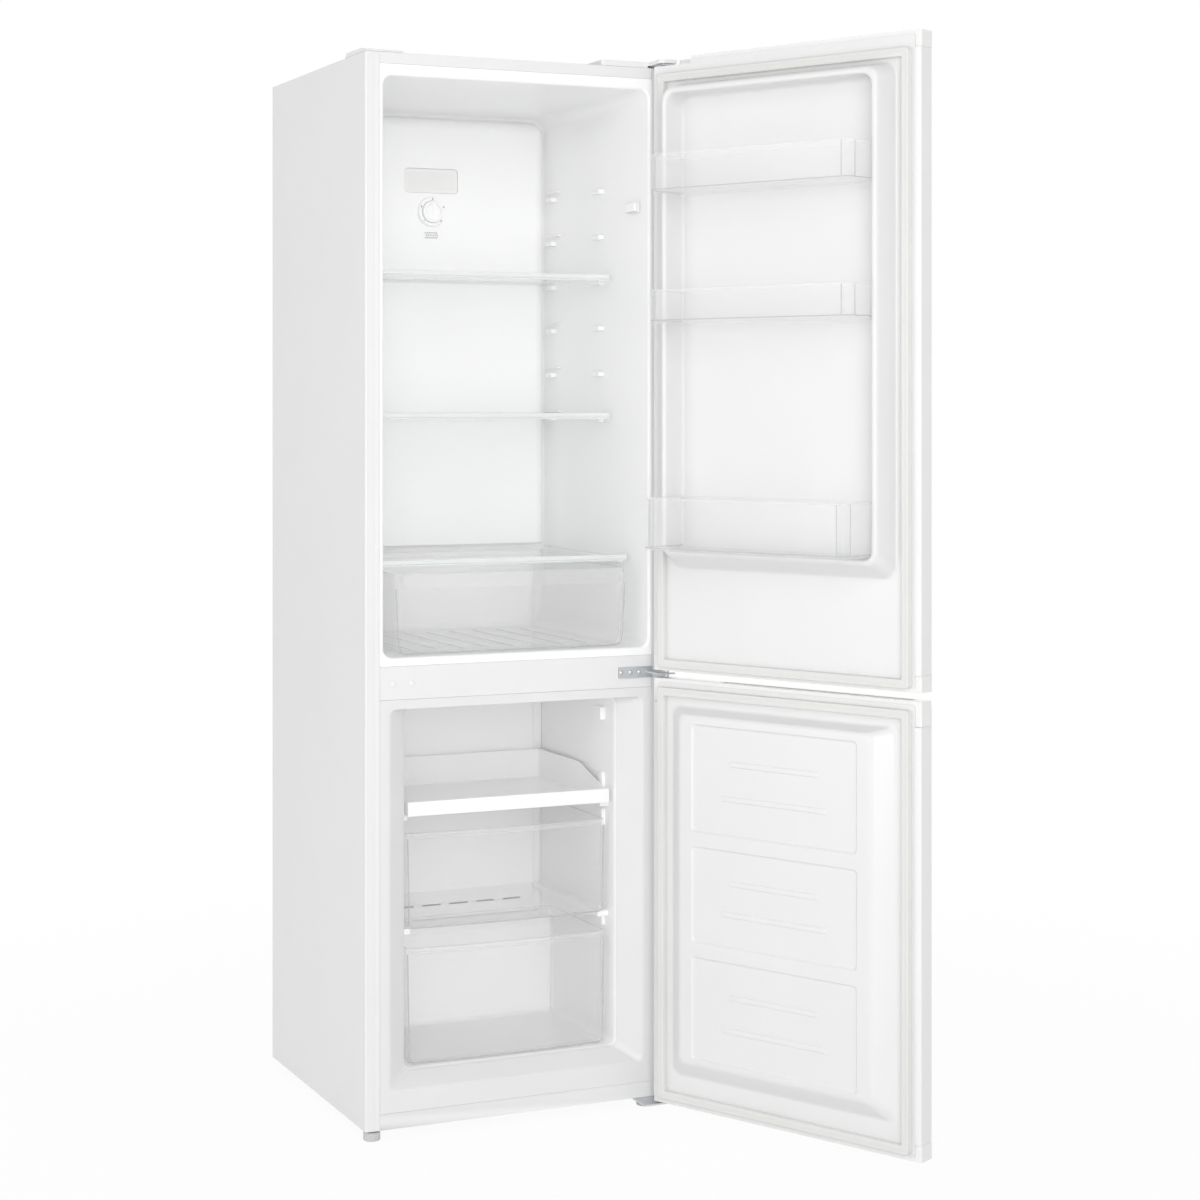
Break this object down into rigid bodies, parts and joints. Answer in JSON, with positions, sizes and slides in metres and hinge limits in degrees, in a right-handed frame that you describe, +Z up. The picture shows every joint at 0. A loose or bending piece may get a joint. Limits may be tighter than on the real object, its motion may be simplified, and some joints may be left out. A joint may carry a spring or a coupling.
{
  "type": "bottom-freezer refrigerator",
  "caption": "White upright refrigerator with a fridge compartment over a freezer, both doors swung open, glass shelves, clear drawers and door bins.",
  "frame": {"origin": "on the floor, under the middle of the box round cabinet and open doors", "axes": "+Z up, -Y out of the cabinet's front, +X towards the hinge side"},
  "size_m": [0.7676, 1.0394, 1.8],
  "materials": {
    "white_enamel": "white enamelled steel sheet",
    "white_plastic": "white moulded plastic",
    "liner_plastic": "white formed plastic liner",
    "clear_plastic": "clear moulded plastic",
    "shelf_glass": "clear toughened glass",
    "seal_rubber": "light soft seal",
    "black_rubber": "black rubber",
    "black_plastic": "black moulded plastic",
    "grey_plastic": "light grey moulded plastic",
    "zinc_steel": "zinc-plated steel",
    "galvanised": "galvanised steel sheet",
    "aluminium": "bare aluminium",
    "black_enamel": "black enamelled steel"
  },
  "bodies": {
    "cabinet": {"side_panel_left": "white_enamel", "side_panel_right": "white_enamel", "top_panel": "white_enamel", "rear_panel": "galvanised", "bottom_plate": "white_enamel", "bay_panel": "galvanised", "mullion_rail": "white_enamel", "compressor_base": "galvanised", "top_cap_left": "white_plastic", "mullion_plug_1": "white_plastic", "mullion_plug_2": "white_plastic", "fridge_liner": "liner_plastic", "duct_cover": "liner_plastic", "lamp_lens": "clear_plastic", "thermostat_box": "black_plastic", "switch_housing": "white_plastic", "crisper_cover_glass": "shelf_glass", "crisper_cover_trim": "clear_plastic", "freezer_liner": "liner_plastic", "evaporator_cover": "liner_plastic", "evaporator": "aluminium", "fan_motor": "galvanised", "compressor": "black_enamel", "drip_tray": "black_plastic", "roller_axle_left": "zinc_steel", "roller_axle_right": "zinc_steel", "top_hinge": "zinc_steel", "middle_hinge": "zinc_steel", "bottom_hinge": "zinc_steel", "hinge_cover": "white_plastic"},
    "upper_door": {"upper_door_skin": "white_enamel", "upper_door_top_cap": "white_plastic", "upper_door_bottom_cap": "white_plastic", "upper_door_liner": "liner_plastic", "upper_door_gasket": "seal_rubber"},
    "lower_door": {"lower_door_skin": "white_enamel", "lower_door_top_cap": "white_plastic", "lower_door_bottom_cap": "white_plastic", "lower_door_liner": "liner_plastic", "lower_door_gasket": "seal_rubber"},
    "bin_top": {"bin_top": "clear_plastic"},
    "bin_middle": {"bin_middle": "clear_plastic"},
    "bin_bottom": {"bin_bottom": "clear_plastic"},
    "upper_shelf": {"upper_shelf_glass": "shelf_glass", "upper_shelf_trim": "clear_plastic"},
    "lower_shelf": {"lower_shelf_glass": "shelf_glass", "lower_shelf_trim": "clear_plastic"},
    "crisper": {"crisper": "clear_plastic"},
    "freezer_tray": {"freezer_tray": "white_plastic"},
    "middle_drawer": {"middle_drawer": "clear_plastic"},
    "lower_drawer": {"lower_drawer": "clear_plastic"},
    "thermostat_dial": {"thermostat_dial": "white_plastic"},
    "switch_button": {"switch_button": "white_plastic"},
    "fan_impeller": {"fan_impeller": "black_plastic"},
    "foot_left": {"foot_left": "grey_plastic"},
    "foot_right": {"foot_right": "grey_plastic"},
    "roller_left": {"roller_left": "black_rubber"},
    "roller_right": {"roller_right": "black_rubber"}
  },
  "joints": [
    {"name": "upper_door_swing", "type": "hinge", "parent": "cabinet", "child": "upper_door", "pos_m": [0.14798, -0.03197, 1.78], "axis": [0, 0, 1], "range_deg": [-115.2, 20]},
    {"name": "lower_door_swing", "type": "hinge", "parent": "cabinet", "child": "lower_door", "pos_m": [0.14798, -0.03197, 0.03], "axis": [0, 0, 1], "range_deg": [-115.2, 20]},
    {"name": "bin_top_lift", "type": "slide", "parent": "upper_door", "child": "bin_top", "axis": [0, 0, 1], "range_m": [0, 0.025]},
    {"name": "bin_middle_lift", "type": "slide", "parent": "upper_door", "child": "bin_middle", "axis": [0, 0, 1], "range_m": [0, 0.025]},
    {"name": "bin_bottom_lift", "type": "slide", "parent": "upper_door", "child": "bin_bottom", "axis": [0, 0, 1], "range_m": [0, 0.025]},
    {"name": "upper_shelf_slide", "type": "slide", "parent": "cabinet", "child": "upper_shelf", "axis": [0, -1, 0], "range_m": [0, 0.13]},
    {"name": "lower_shelf_slide", "type": "slide", "parent": "cabinet", "child": "lower_shelf", "axis": [0, -1, 0], "range_m": [0, 0.13]},
    {"name": "crisper_slide", "type": "slide", "parent": "cabinet", "child": "crisper", "axis": [0, -1, 0], "range_m": [0, 0.22]},
    {"name": "freezer_tray_slide", "type": "slide", "parent": "cabinet", "child": "freezer_tray", "axis": [0, -1, 0], "range_m": [0, 0.2]},
    {"name": "middle_drawer_slide", "type": "slide", "parent": "cabinet", "child": "middle_drawer", "axis": [0, -1, 0], "range_m": [0, 0.22]},
    {"name": "lower_drawer_slide", "type": "slide", "parent": "cabinet", "child": "lower_drawer", "axis": [0, -1, 0], "range_m": [0, 0.2]},
    {"name": "thermostat_turn", "type": "hinge", "parent": "cabinet", "child": "thermostat_dial", "pos_m": [-0.11132, 0.42173, 1.564], "axis": [0, -1, 0], "range_deg": [0, 270]},
    {"name": "switch_press", "type": "slide", "parent": "cabinet", "child": "switch_button", "axis": [1, 0, 0], "range_m": [0, 0.003], "stiffness_N_per_m": 300, "springref_m": -0.003},
    {"name": "fan_spin", "type": "hinge", "parent": "cabinet", "child": "fan_impeller", "pos_m": [-0.11132, 0.42173, 0.612], "axis": [0, -1, 0], "continuous": true},
    {"name": "foot_left_turn", "type": "hinge", "parent": "cabinet", "child": "foot_left", "pos_m": [-0.36682, 0.01873, 0.01], "axis": [0, 0, 1], "continuous": true},
    {"name": "foot_right_turn", "type": "hinge", "parent": "cabinet", "child": "foot_right", "pos_m": [0.13018, 0.01873, 0.01], "axis": [0, 0, 1], "continuous": true},
    {"name": "roller_left_roll", "type": "hinge", "parent": "cabinet", "child": "roller_left", "pos_m": [-0.33982, 0.47973, 0.013], "axis": [1, 0, 0], "continuous": true},
    {"name": "roller_right_roll", "type": "hinge", "parent": "cabinet", "child": "roller_right", "pos_m": [0.11718, 0.47973, 0.013], "axis": [1, 0, 0], "continuous": true}
  ]
}
